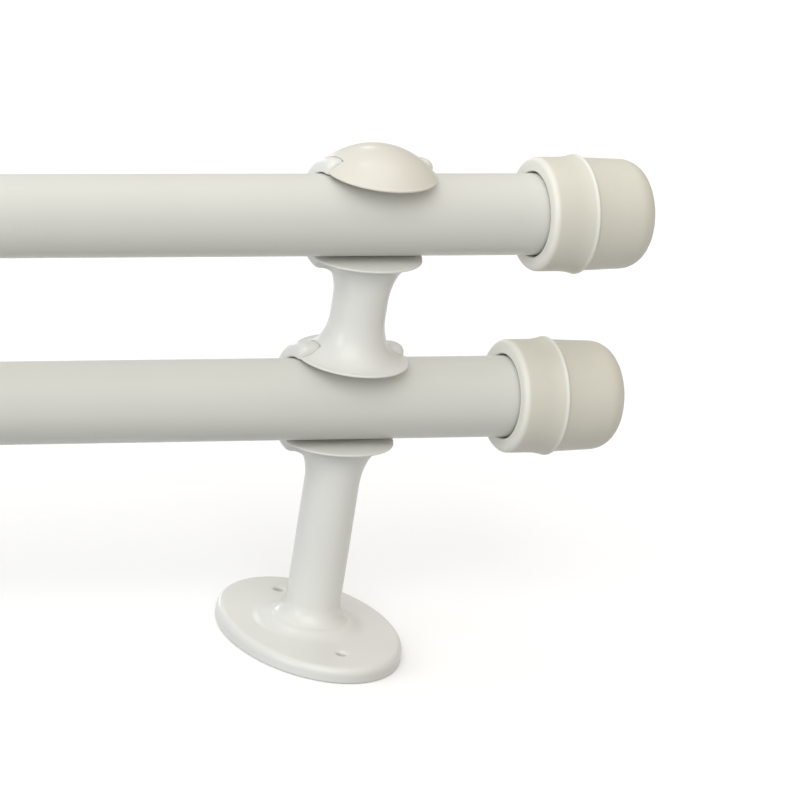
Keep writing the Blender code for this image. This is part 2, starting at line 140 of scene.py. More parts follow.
# ---- sizes of the visual detail --------------------------------------------
CELLS = {"base_bracket": 0.5 * MM, "extension_arm": 0.4 * MM, "dome_cap": 0.25 * MM}
FINE_CELL = 0.25 * MM               # height of the cells near the thin rims
FINE_REACH = 1.3 * MM
TABLE_CELL = 0.1 * MM               # grid of an outline's distance table
MARGIN = 2.0 * MM                   # how far the grids reach past a shape
NUDGE = 0.02 * MM                   # step that a slope is measured over
SEAM = 0.03 * MM                    # gap drawn between two castings
CAST_FILLET = 3.0 * MM              # blend where two shapes of one casting meet
BOSS_FILLET = 2.0 * MM
PLATE_FOOT_ROUND = 0.5 * MM
PLATE_SOFT_ROUND = 2.6 * MM
PLATE_CROWN = 0.6 * MM              # how far the plate's top falls towards its edge
PLATE_EDGE_START = 88               # angle in degrees where the crowned top meets the edge's round
FOOT_FILLET = 8.0 * MM
LEDGE_FRONT = 15.0 * MM             # the round shelf under a rod is drawn in to this at the front
LEDGE_LIP = 1.3 * MM
LEDGE_NOSE = 0.6 * MM
LEDGE_FLAT = 8.0 * MM               # the shelf's top is flat to this radius, then rolls over
CRADLE_END_ROUND = 3.4 * MM
CRADLE_LIP_BLEND = 3.0 * MM
EDGE_BREAK = 0.6 * MM               # blend left on a machined edge
SEAM_BREAK = 0.5 * MM               # blend along the rim that closes on a cradle
REACH = 90 * MM                     # past any bracket piece
TUBE_EDGE = 0.25 * MM               # rounding of cut and moulded edges
BEAD_CREST = 20.95 * MM
BEAD_ROUND = 0.7 * MM
BEAD_HOLLOW = 2.2                   # exponent of the ramp up to the bead: 1 would be straight
BEAD_TAIL_SLOPE = 70                # angles in degrees where the bead's round meets its fall and ramp
BEAD_RAMP_SLOPE = -35
STEP_FILLET = 0.6 * MM
THREAD_PITCH = 0.75 * MM
THREAD_DEPTH = 0.3 * MM
THREAD_STEPS = 8                    # points a turn of thread, down the shank
TURN_STEPS = 144
SCREW_STEPS = 48
HEXAGON = 6
EDGE_STEPS = 4
ARC_STEPS = 10
FLARE_STEPS = 24
SHARP_ANGLE = math.radians(50)
WELD_DISTANCE = 0.01 * MM
DRAW_ROUNDS = 3                     # how often points are drawn to the surface
LONGEST_DRAW = 1 / 3                # of a cell, in one round
LEAST_STEEPNESS = 0.05

# ---- colours, light and camera ----------------------------------------------
NOISE_LOW, NOISE_HIGH = 0.3, 0.7    # where most of a noise's values lie
ENAMEL = (0.730, 0.730, 0.700)
# Dome enamel: a creamier tint of its own, and darker than ENAMEL as painted shade that tones down the
# light falling on the dome's top
DOME_SHADED_ENAMEL = (0.670, 0.645, 0.575)
TUBE_WHITE = (0.690, 0.692, 0.652)
CREAM = (0.670, 0.652, 0.572)
# Paler cream painted as highlights in rings on the caps' mouth lip and bead crest
HIGHLIGHT_CREAM = (0.830, 0.830, 0.780)
HIGHLIGHT_RINGS = (                    # height over the mouth in mm, and how strong the painted highlight is there
    (0.6, 0.6), (2.4, 0.0), (14.9, 0.0), (15.9, 0.7), (16.5, 0.7), (17.1, 0.0),
)
GREY = (0.20, 0.20, 0.19)
ZINC_COOL = (0.56, 0.58, 0.60)
ZINC_WARM = (0.66, 0.64, 0.58)
PAPER = (0.95, 0.955, 0.97)
STUDIO = (                          # height from nadir 0 to zenith 1, and its light
    (0.0, (0.385, 0.39, 0.395)),
    (0.45, (0.465, 0.475, 0.48)),
    (0.6, (0.74, 0.745, 0.745)),
    (1.0, (0.83, 0.825, 0.80)),
)
TAN_SIDE = (                        # share of that light from -X at 0 to +X at 1
    (0.0, (1.0, 1.0, 1.0)),
    (0.58, (1.0, 1.0, 1.0)),
    (0.85, (0.74, 0.68, 0.58)),
)
FLOOR_HALF = 12.0
FLOOR_DROP = 0.1 * MM
SOFTBOXES = (                       # name, place from the bracket, size, watts, colour
    ("key", (-1.1, -1.8, 1.9), 2.2, 32, (1.0, 0.985, 0.955)),
    ("side", (-2.4, -0.4, 0.7), 1.2, 14, (0.97, 0.99, 1.0)),
    ("top", (0.2, 0.3, 2.6), 1.8, 7, (1.0, 0.99, 0.98)),
    ("lamp", (-0.25, 1.0, 2.1), 0.35, 1.3, (0.93, 0.96, 1.0)),
    ("window", (0.66, 2.1, 1.0), 0.3, 0.9, (0.86, 0.93, 1.0)),
    ("low_window", (0.1, 2.3, 0.14), 0.4, 2.5, (0.86, 0.93, 1.0)),
)
CAMERA_AZIMUTH = 26.7
CAMERA_ELEVATION = 20.3
CAMERA_ROLL = 9.06
CAMERA_DISTANCE = 2.846
CAMERA_SPAN = 0.2780                # width in view at that distance
AIM_RIGHT = 0.0192
AIM_UP = -0.0006
SENSOR = 36


# ---- outlines, as (radius, height) points from top to bottom ---------------
def arc(centre, radius, start, end, steps=ARC_STEPS):
    """Points on an arc, between two angles in degrees from the radius axis."""
    angles = np.radians(np.linspace(start, end, steps + 1))
    return [(centre[0] + radius * math.cos(a), centre[1] + radius * math.sin(a)) for a in angles]


def flare(narrow, wide):
    """Concave quarter ellipse from one (radius, height) to another: upright, then flat."""
    angles = np.linspace(0, math.pi / 2, FLARE_STEPS + 1)
    across, along = wide[0] - narrow[0], wide[1] - narrow[1]
    return [(wide[0] - across * math.cos(a), narrow[1] + along * math.sin(a)) for a in angles]


def lip_nose(low, thickness):
    """Full round nose of a thin rim, from its top to its underside."""
    round_radius = thickness / 2
    return arc((TRUMPET_RADIUS - round_radius, low + round_radius), round_radius, 90, -90)


def trumpet_top(rod_z):
    """A shelf's top, which rolls over to its nose, and the flare down to the plain post."""
    low = rod_z - LEDGE_DROP - LEDGE_LIP
    centre = low + LEDGE_NOSE
    across, fall = TRUMPET_RADIUS - LEDGE_FLAT, rod_z - LEDGE_DROP - centre
    angles = np.linspace(math.pi / 2, 0, FLARE_STEPS + 1)
    roll = [(LEDGE_FLAT + across * math.cos(a), centre + fall * math.sin(a)) for a in angles]
    nose = TRUMPET_RADIUS - LEDGE_NOSE
    outline = [(0, rod_z - LEDGE_DROP)] + roll + arc((nose, centre), LEDGE_NOSE, 0, -90)[1:]
    return outline + flare((POST_RADIUS, low - TRUMPET_FLARE_HEIGHT), (nose, low))[::-1]


# ---- distance fields: negative inside, and x, y, z may be any arrays --------
def outline_table(outline):
    """Signed distance to a closed outline of (radius, height) points, as a grid over its box."""
    points = np.array(outline)
    low = np.array([0, points[:, 1].min() - MARGIN])
    high = points.max(0) + MARGIN
    radii = np.arange(low[0], high[0], TABLE_CELL)
    heights = np.arange(low[1], high[1], TABLE_CELL)
    r, z = np.meshgrid(radii, heights, indexing="ij")
    nearest = np.full(r.shape, REACH)
    inside = np.zeros(r.shape, bool)
    for (r1, z1), (r2, z2) in zip(points, np.roll(points, -1, 0)):
        with np.errstate(divide="ignore", invalid="ignore"):
            crossing = r1 + (z - z1) * (r2 - r1) / (z2 - z1)
        inside ^= ((z1 > z) != (z2 > z)) & (r < crossing)
        if max(r1, r2) < TABLE_CELL / 2:
            continue
        along = np.array([r2 - r1, z2 - z1])
        share = ((r - r1) * along[0] + (z - z1) * along[1]) / max(along @ along, 1e-18)
        share = np.clip(share, 0, 1)
        distance = np.hypot(r - r1 - share * along[0], z - z1 - share * along[1])
        nearest = np.minimum(nearest, distance)
    return low, np.where(inside, -nearest, nearest)


def look_up(table, r, z):
    """Read a distance table between its points; past its edge the distance grows on."""
    low, values = table
    column = (r - low[0]) / TABLE_CELL
    row = (z - low[1]) / TABLE_CELL
    column, row = np.broadcast_arrays(column, row)
    held_column = np.clip(column, 0, values.shape[0] - 1.001)
    held_row = np.clip(row, 0, values.shape[1] - 1.001)
    i = held_column.astype(np.int32)
    j = held_row.astype(np.int32)
    s = held_column - i
    t = held_row - j
    near = values[i, j] * (1 - t) + values[i, j + 1] * t
    far = values[i + 1, j] * (1 - t) + values[i + 1, j + 1] * t
    outside = np.hypot(column - held_column, row - held_row) * TABLE_CELL
    return near * (1 - s) + far * s + outside


def meet(a, b, blend):
    """What two shapes have in common, with the edge between them rounded off."""
    overlap = np.maximum(blend - np.abs(a - b), 0)
    return np.maximum(a, b) + overlap * overlap / (4 * blend)


def join(a, b, blend):
    """Both shapes as one, with a fillet between them."""
    return -meet(-a, -b, blend)


def cut(a, b, blend=EDGE_BREAK):
    """Shape a without shape b, with a broken edge."""
    return meet(a, -b, blend)


def upright(radius, low, high, x, y, z):
    """Cylinder about the post axis between two heights."""
    return np.maximum(np.hypot(x, y) - radius, np.maximum(low - z, z - high))


POST_FOOT = PLATE_THICKNESS + FOOT_FLARE_HEIGHT
PLATE_TABLE = outline_table(
    [(0, PLATE_THICKNESS), (PLATE_HALF_Y / 2, PLATE_THICKNESS - PLATE_CROWN / 4)]
    + arc(
        (PLATE_HALF_Y - PLATE_SOFT_ROUND, PLATE_THICKNESS - PLATE_CROWN - PLATE_SOFT_ROUND),
        PLATE_SOFT_ROUND, PLATE_EDGE_START, 0,
    )
    + arc((PLATE_HALF_Y - PLATE_FOOT_ROUND, PLATE_FOOT_ROUND), PLATE_FOOT_ROUND, 0, -90, EDGE_STEPS)
    + [(0, 0)]
)
BARREL_EDGE = CRADLE_RADIUS - CRADLE_END_ROUND
BARREL_END = CRADLE_HALF_LENGTH - CRADLE_END_ROUND
BARREL_TABLE = outline_table(
    [(0, CRADLE_HALF_LENGTH)]
    + arc((BARREL_EDGE, BARREL_END), CRADLE_END_ROUND, 90, 0)
    + arc((BARREL_EDGE, -BARREL_END), CRADLE_END_ROUND, 0, -90)
    + [(0, -CRADLE_HALF_LENGTH)]
)
POST_TABLE = outline_table(
    trumpet_top(ROD_Z["lower"])
    + flare((POST_RADIUS, POST_FOOT), (FOOT_RADIUS, PLATE_THICKNESS))
    + [(FOOT_RADIUS, PLATE_THICKNESS / 2), (0, PLATE_THICKNESS / 2)]
)
ARM_LOW = ROD_Z["lower"] + HOOD_RISE
ARM_TABLE = outline_table(
    trumpet_top(ROD_Z["upper"])
    + flare(
        (POST_RADIUS, ARM_LOW + TRUMPET_LIP + TRUMPET_FLARE_HEIGHT),
        (TRUMPET_RADIUS - TRUMPET_LIP / 2, ARM_LOW + TRUMPET_LIP),
    )
    + lip_nose(ARM_LOW, TRUMPET_LIP)
    + [(0, ARM_LOW)]
)


def dome_outline():
    """Lens-shaped cap: a ball segment over a round rim."""
    low = ROD_Z["upper"] + HOOD_RISE
    nose = DOME_LIP / 2
    reach = TRUMPET_RADIUS - nose
    rise = DOME_TOP - low - DOME_LIP
    sphere = (reach ** 2 + rise ** 2) / (2 * rise)
    half_angle = math.degrees(math.asin(reach / sphere))
    crown = arc((0, DOME_TOP - sphere), sphere, 90, 90 - half_angle, FLARE_STEPS)
    return crown + arc((reach, low + nose), nose, 90 - half_angle, -90) + [(0, low)]


DOME_TABLE = outline_table(dome_outline())
SINK_TABLE = outline_table([
    (0, REACH),
    (WALL_HOLE_SINK_RADIUS, REACH),
    (WALL_HOLE_SINK_RADIUS, PLATE_THICKNESS),
    (WALL_HOLE_RADIUS, PLATE_THICKNESS - WALL_HOLE_SINK_DEPTH),
    (WALL_HOLE_RADIUS, -REACH),
    (0, -REACH),
])
PASSAGE_TABLE = outline_table([
    (0, CRADLE_RADIUS + MARGIN),
    (TIE_SCREW_RADIUS + GAP, CRADLE_RADIUS + MARGIN),
    (TIE_SCREW_RADIUS + GAP, CRADLE_BORE + GAP + TIE_HEAD_HEIGHT),
    (TIE_HEAD_RADIUS + GAP, CRADLE_BORE + GAP),
    (TIE_HEAD_RADIUS + GAP, 0),
    (0, 0),
])


def with_cradle(body, rod_z, x, y, z):
    """Grow a cradle with its bosses on a body, and cut the rod's channel and the screw holes.

    The fillets must not grow past the cradle's ends, where a cap comes close when a rod slides.
    """
    height = z - rod_z
    across = np.hypot(y, height)
    shell = meet(look_up(BARREL_TABLE, across, x), -CRADLE_LIP_REACH - y, CRADLE_LIP_BLEND)
    body = join(body, shell, CAST_FILLET)
    from_behind = np.hypot(x, height)
    boss = np.maximum(from_behind - LOCK_BOSS_RADIUS, np.maximum(y - LOCK_BOSS_FACE, CRADLE_BORE - y))
    body = join(body, boss, BOSS_FILLET)
    ends = np.where(height > -CRADLE_RADIUS, np.abs(x) - CRADLE_HALF_LENGTH, -REACH)
    body = meet(body, ends, GAP)
    body = join(body, upright(CROWN_BOSS_RADIUS, rod_z, rod_z + CRADLE_RADIUS - GAP, x, y, z), GAP)
    channel = np.hypot(np.maximum(y, 0), height) - CRADLE_BORE
    body = cut(body, channel)
    body = cut(body, look_up(PASSAGE_TABLE, np.hypot(x, y), height), GAP)
    return cut(body, np.maximum(from_behind - LOCK_SCREW_RADIUS - GAP, -y), GAP)


def seated_on_cradle(body, rod_z, x, y, z):
    """Hollow a body's underside so that it fits over a cradle's crown."""
    saddle = np.hypot(y, z - rod_z) - CRADLE_RADIUS - SEAM
    saddle = np.maximum(saddle, -CRADLE_LIP_REACH - SEAM - y)
    body = cut(body, saddle, SEAM_BREAK)
    body = cut(body, upright(CROWN_BOSS_RADIUS + GAP, rod_z, rod_z + CRADLE_RADIUS, x, y, z), GAP)
    thread_top = rod_z + CRADLE_BORE + GAP + TIE_SCREW_LENGTH + GAP
    return cut(body, upright(TIE_SCREW_RADIUS + GAP, rod_z, thread_top, x, y, z), GAP)


def shelved(table, rod_z, x, y, z):
    """A turned post, with the front of the shelf under a rod drawn in to an oval."""
    rise = np.clip((z - rod_z + LEDGE_DROP) / TRUMPET_FLARE_HEIGHT + 1, 0, 1)
    squeeze = 1 + (TRUMPET_RADIUS / LEDGE_FRONT - 1) * rise * rise * (3 - 2 * rise)
    return look_up(table, np.hypot(x, np.where(y < 0, y * squeeze, y)), z)


def base_field(x, y, z):
    """Foot plate, post, trumpet and lower cradle."""
    plate = look_up(PLATE_TABLE, np.hypot(x * PLATE_HALF_Y / PLATE_HALF_X, y), z)
    body = join(shelved(POST_TABLE, ROD_Z["lower"], x, y, z), plate, FOOT_FILLET)
    body = np.maximum(body, -z)     # the fillet would bulge out of the flat underside too
    body = with_cradle(body, ROD_Z["lower"], x, y, z)
    for side in (-1, 1):
        body = cut(body, look_up(SINK_TABLE, np.hypot(x, y - side * WALL_HOLE_OFFSET), z), GAP)
    return body


def arm_field(x, y, z):
    """Double trumpet with the upper cradle."""
    body = shelved(ARM_TABLE, ROD_Z["upper"], x, y, z)
    body = with_cradle(body, ROD_Z["upper"], x, y, z)
    return seated_on_cradle(body, ROD_Z["lower"], x, y, z)


def dome_field(x, y, z):
    """Domed cap over the upper cradle."""
    return seated_on_cradle(look_up(DOME_TABLE, np.hypot(x, y), z), ROD_Z["upper"], x, y, z)


# ---- surface nets -----------------------------------------------------------
def grid_lines(low, high, cell, fine=()):
    """Grid coordinates from low to high, closer together near the fine places."""
    spots = [low - MARGIN]
    while spots[-1] < high + MARGIN:
        near = any(abs(spots[-1] - place) < FINE_REACH for place in fine)
        spots.append(spots[-1] + (FINE_CELL if near else cell))
    return np.array(spots)


def slopes(field, points):
    """Direction and steepness in which the field grows, at each point."""
    columns = []
    for axis in range(3):
        ahead, behind = points.copy(), points.copy()
        ahead[:, axis] += NUDGE
        behind[:, axis] -= NUDGE
        columns.append((field(*ahead.T) - field(*behind.T)) / (2 * NUDGE))
    return np.stack(columns, 1)


def drawn_to_surface(field, points, cell):
    """Move points straight onto the field's zero level, a little at a time."""
    longest = cell * LONGEST_DRAW
    for _ in range(DRAW_ROUNDS):
        slope = slopes(field, points)
        steepness = np.maximum((slope * slope).sum(1), LEAST_STEEPNESS)
        step = -slope * (field(*points.T) / steepness)[:, None]
        points = points + np.clip(step, -longest, longest)
    return points


def surface_net(field, lines):
    """Quads round the field's zero level over a grid: one point in each cell that it crosses."""
    values = field(lines[0][:, None, None], lines[1][None, :, None], lines[2][None, None, :])
    cells = tuple(len(line) - 1 for line in lines)
    count = np.zeros(np.prod(cells))
    total = np.zeros((3, count.size))
    rings = []
    for axis in range(3):
        a = np.take(values, range(len(lines[axis]) - 1), axis)
        b = np.take(values, range(1, len(lines[axis])), axis)
        edge = np.nonzero((a < 0) != (b < 0))
        share = a[edge] / (a[edge] - b[edge])
        place = [line[index] for line, index in zip(lines, edge)]
        place[axis] = place[axis] + share * (lines[axis][edge[axis] + 1] - lines[axis][edge[axis]])
        u, v = (axis + 1) % 3, (axis + 2) % 3
        ring = []
        for back_u, back_v in ((1, 1), (0, 1), (0, 0), (1, 0)):
            cell = list(edge)
            cell[u] = cell[u] - back_u
            cell[v] = cell[v] - back_v
            flat = np.ravel_multi_index(cell, cells)
            ring.append(flat)
            count += np.bincount(flat, minlength=count.size)
            for k in range(3):
                total[k] += np.bincount(flat, place[k], count.size)
        ring = np.stack(ring, 1)
        rings.append(np.where((a[edge] < 0)[:, None], ring, ring[:, ::-1]))
    used = np.nonzero(count)[0]
    number = np.zeros(count.size, np.int64)
    number[used] = np.arange(used.size)
    return (total[:, used] / count[used]).T, number[np.concatenate(rings)]


def cast_mesh(name, field, low, high, rims):
    """Mesh a casting between two corners, with finer cells at the heights of its rims."""
    cell = CELLS[name]
    lines = [grid_lines(low[axis], high[axis], cell) for axis in (0, 1)]
    lines.append(grid_lines(low[2], high[2], cell, rims))
    points, quads = surface_net(field, lines)
    points = drawn_to_surface(field, points, cell)
    mesh = bpy.data.meshes.new(name)
    mesh.from_pydata(points.tolist(), [], quads.tolist())
    mesh.shade_smooth()
    return mesh


# ---- turned pieces ----------------------------------------------------------
def turned(name, outline, ring=False, steps=TURN_STEPS):
    """Turn an outline about +Z with a Screw modifier and return the mesh."""
    mesh = bpy.data.meshes.new(name)
    edges = [(index, index + 1) for index in range(len(outline) - 1)]
    if ring:
        edges.append((len(outline) - 1, 0))
    mesh.from_pydata([(radius, 0, height) for radius, height in outline], edges, [])
    profile = bpy.data.objects.new(name, mesh)
    bpy.context.scene.collection.objects.link(profile)
    screw = profile.modifiers.new("turn", "SCREW")
    screw.steps = steps
    screw.render_steps = steps
    screw.use_merge_vertices = True
    screw.merge_threshold = WELD_DISTANCE
    graph = bpy.context.evaluated_depsgraph_get()
    result = bpy.data.meshes.new_from_object(profile.evaluated_get(graph))
    bpy.data.objects.remove(profile)
    result.name = name
    return smoothed(result)


def smoothed(mesh):
    """Shade a mesh smooth, with its real edges kept sharp."""
    mesh.shade_smooth()
    mesh.set_sharp_from_angle(angle=SHARP_ANGLE)
    return mesh


def tube_mesh():
    """Drawn tube with slightly broken edges at both ends."""
    bore = ROD_RADIUS - ROD_WALL
    far = ROD_HALF - TUBE_EDGE
    outline = arc((ROD_RADIUS - TUBE_EDGE, far), TUBE_EDGE, 90, 0, EDGE_STEPS)
    outline += arc((ROD_RADIUS - TUBE_EDGE, -far), TUBE_EDGE, 0, -90, EDGE_STEPS)
    outline += arc((bore + TUBE_EDGE, -far), TUBE_EDGE, -90, -180, EDGE_STEPS)
    outline += arc((bore + TUBE_EDGE, far), TUBE_EDGE, 180, 90, EDGE_STEPS)
    return turned("rod", outline, ring=True)


def bead():
    """Raised ring: a short fall on the tail side, a long hollow ramp on the mouth side."""
    crest = BEAD_CREST - BEAD_ROUND
    step_foot = (CAP_TAIL_RADIUS + STEP_FILLET, CAP_BEAD_PLACE + CAP_BEAD_STEP)
    outline = arc(step_foot, STEP_FILLET, 180, 180 + BEAD_TAIL_SLOPE, EDGE_STEPS)
    outline += arc((crest, CAP_BEAD_PLACE), BEAD_ROUND, BEAD_TAIL_SLOPE, BEAD_RAMP_SLOPE, EDGE_STEPS)
    foot_height = CAP_BEAD_PLACE - CAP_BEAD_RAMP
    top_radius, top_height = outline[-1]
    for share in np.linspace(0, 1, FLARE_STEPS)[-2::-1]:
        radius = CAP_RADIUS + (top_radius - CAP_RADIUS) * share ** BEAD_HOLLOW
        outline.append((radius, foot_height + (top_height - foot_height) * share))
    return outline


def cap_mesh():
    """Moulded end cap with its mouth at height 0."""
    end_radius = CAP_TAIL_RADIUS - CAP_TAIL_TAPER
    shoulder = CAP_LENGTH - CAP_END_CROWN - CAP_END_ROUND
    flat = end_radius - CAP_END_ROUND
    bulge = (flat ** 2 + CAP_END_CROWN ** 2) / (2 * CAP_END_CROWN)
    spread = math.degrees(math.asin(flat / bulge))
    socket_bore = ROD_RADIUS + GAP
    peg_low = CAP_SOCKET_DEPTH - CAP_PEG_LENGTH
    outline = arc((0, CAP_LENGTH - bulge), bulge, 90, 90 - spread)
    outline += arc((flat, shoulder), CAP_END_ROUND, 90 - spread, 0)[1:]
    outline += bead()
    outline += arc((CAP_RADIUS - CAP_MOUTH_ROUND, CAP_MOUTH_ROUND), CAP_MOUTH_ROUND, 0, -90)
    inner = CAP_MOUTH_INNER_ROUND
    outline += arc((CAP_MOUTH_BORE + inner, inner), inner, -90, -180)
    outline += [
        (CAP_MOUTH_BORE, CAP_MOUTH_DEPTH),
        (socket_bore, CAP_MOUTH_DEPTH + CAP_MOUTH_CONE),
        (socket_bore, CAP_SOCKET_DEPTH),
        (CAP_PEG_RADIUS, CAP_SOCKET_DEPTH),
    ]
    outline += arc((CAP_PEG_RADIUS - TUBE_EDGE, peg_low + TUBE_EDGE), TUBE_EDGE, 0, -90, EDGE_STEPS)
    outline += [(0, peg_low)]
    return turned("end_cap", outline)


def plug_mesh():
    """Ribbed plug; the tube's end butts on its collar at height 0."""
    crest = ROD_RADIUS - ROD_WALL - GAP
    groove = crest - PLUG_RIB_DEPTH
    hole = CAP_PEG_RADIUS + GAP
    pitch = PLUG_LENGTH / PLUG_RIBS
    collar_edge = PLUG_COLLAR_RADIUS - TUBE_EDGE
    collar_top = GAP + PLUG_COLLAR_LENGTH
    outline = [(hole, collar_top)]
    outline += arc((collar_edge, collar_top - TUBE_EDGE), TUBE_EDGE, 90, 0, EDGE_STEPS)
    outline += arc((collar_edge, GAP + TUBE_EDGE), TUBE_EDGE, 0, -90, EDGE_STEPS)
    outline += [(groove, GAP)]
    for rib in range(PLUG_RIBS):
        start = -pitch * (rib + 0.5)
        outline += [(groove, start), (crest - TUBE_EDGE, start - TUBE_EDGE / 2)]
        outline += [(crest, start - TUBE_EDGE), (crest, start - 2 * TUBE_EDGE)]
        outline += [(groove, start - pitch / 2)]
    outline += [(groove - 2 * TUBE_EDGE, -PLUG_LENGTH), (hole, -PLUG_LENGTH)]
    return turned("rod_plug", outline, ring=True)


def cut_thread(mesh, radius, low, high):
    """Press a screw thread into the shank between two heights."""
    for vertex in mesh.vertices:
        x, y, z = vertex.co
        reach = math.hypot(x, y)
        if abs(reach - radius) < WELD_DISTANCE and low < z < high:
            phase = z / THREAD_PITCH - math.atan2(y, x) / math.tau
            depth = THREAD_DEPTH * abs(2 * (phase % 1) - 1)
            vertex.co.x = x * (reach - depth) / reach
            vertex.co.y = y * (reach - depth) / reach


def shank(radius, high, low):
    """Close-set points down a screw's shank, for its thread."""
    count = int((high - low) / THREAD_PITCH * THREAD_STEPS)
    return [(radius, height) for height in np.linspace(high, low, count)]


def recessed(mesh, *tools):
    """Cut tools out of a screw's head."""
    body = bpy.data.objects.new("screw", mesh)
    bpy.context.scene.collection.objects.link(body)
    for tool in tools:
        cutter = bpy.data.objects.new("cutter", tool)
        bpy.context.scene.collection.objects.link(cutter)
        boolean = body.modifiers.new("recess", "BOOLEAN")
        boolean.object = cutter
    graph = bpy.context.evaluated_depsgraph_get()
    result = bpy.data.meshes.new_from_object(body.evaluated_get(graph))
    for modifier in body.modifiers:
        bpy.data.objects.remove(modifier.object)
    bpy.data.objects.remove(body)
    return smoothed(result)


def slab(size, centre):
    """Box mesh, as a cutter."""
    shape = bmesh.new()
    bmesh.ops.create_cube(shape, size=1)
    bmesh.ops.scale(shape, vec=size, verts=shape.verts)
    bmesh.ops.translate(shape, vec=centre, verts=shape.verts)
    mesh = bpy.data.meshes.new("slab")
    shape.to_mesh(mesh)
    shape.free()
    return mesh


def lock_screw_mesh():
    """Pan-head screw with a cross recess; the axis of the rod it clamps is at height 0."""
    tip = ROD_RADIUS + GAP
    seat = LOCK_BOSS_FACE + GAP
    top = seat + LOCK_HEAD_HEIGHT
    shoulder = (LOCK_HEAD_RADIUS - LOCK_HEAD_ROUND, top - LOCK_HEAD_ROUND)
    outline = [(0, top)] + arc(shoulder, LOCK_HEAD_ROUND, 90, 0)
    outline += [(LOCK_HEAD_RADIUS, seat), (LOCK_SCREW_RADIUS, seat)]
    outline += shank(LOCK_SCREW_RADIUS, seat - GAP, tip + TUBE_EDGE)
    outline += [(LOCK_SCREW_RADIUS - TUBE_EDGE, tip), (0, tip)]
    mesh = turned("lock_screw", outline, steps=SCREW_STEPS)
    cut_thread(mesh, LOCK_SCREW_RADIUS, tip + 2 * TUBE_EDGE, seat - 2 * GAP)
    depth = 2 * LOCK_SLOT_DEPTH
    return recessed(
        mesh,
        slab((LOCK_SLOT_LENGTH, LOCK_SLOT_WIDTH, depth), (0, 0, top)),
        slab((LOCK_SLOT_WIDTH, LOCK_SLOT_LENGTH, depth), (0, 0, top)),
    )


def tie_screw_mesh():
    """Countersunk screw with a hexagon socket; it stands on its head at height 0."""
    outline = [(0, TIE_SCREW_LENGTH), (TIE_SCREW_RADIUS - TUBE_EDGE, TIE_SCREW_LENGTH)]
    outline += shank(TIE_SCREW_RADIUS, TIE_SCREW_LENGTH - TUBE_EDGE, TIE_HEAD_HEIGHT + GAP)
    outline += [(TIE_SCREW_RADIUS, TIE_HEAD_HEIGHT)]
    outline += [(TIE_HEAD_RADIUS, TUBE_EDGE), (TIE_HEAD_RADIUS, 0), (0, 0)]
    mesh = turned("tie_screw", outline, steps=SCREW_STEPS)
    cut_thread(mesh, TIE_SCREW_RADIUS, TIE_HEAD_HEIGHT + 2 * GAP, TIE_SCREW_LENGTH - 2 * TUBE_EDGE)
    hole = [(0, TIE_SOCKET_DEPTH), (TIE_SOCKET_RADIUS, TIE_SOCKET_DEPTH)]
    hole += [(TIE_SOCKET_RADIUS, -REACH), (0, -REACH)]
    return recessed(mesh, turned("socket", hole, steps=HEXAGON))


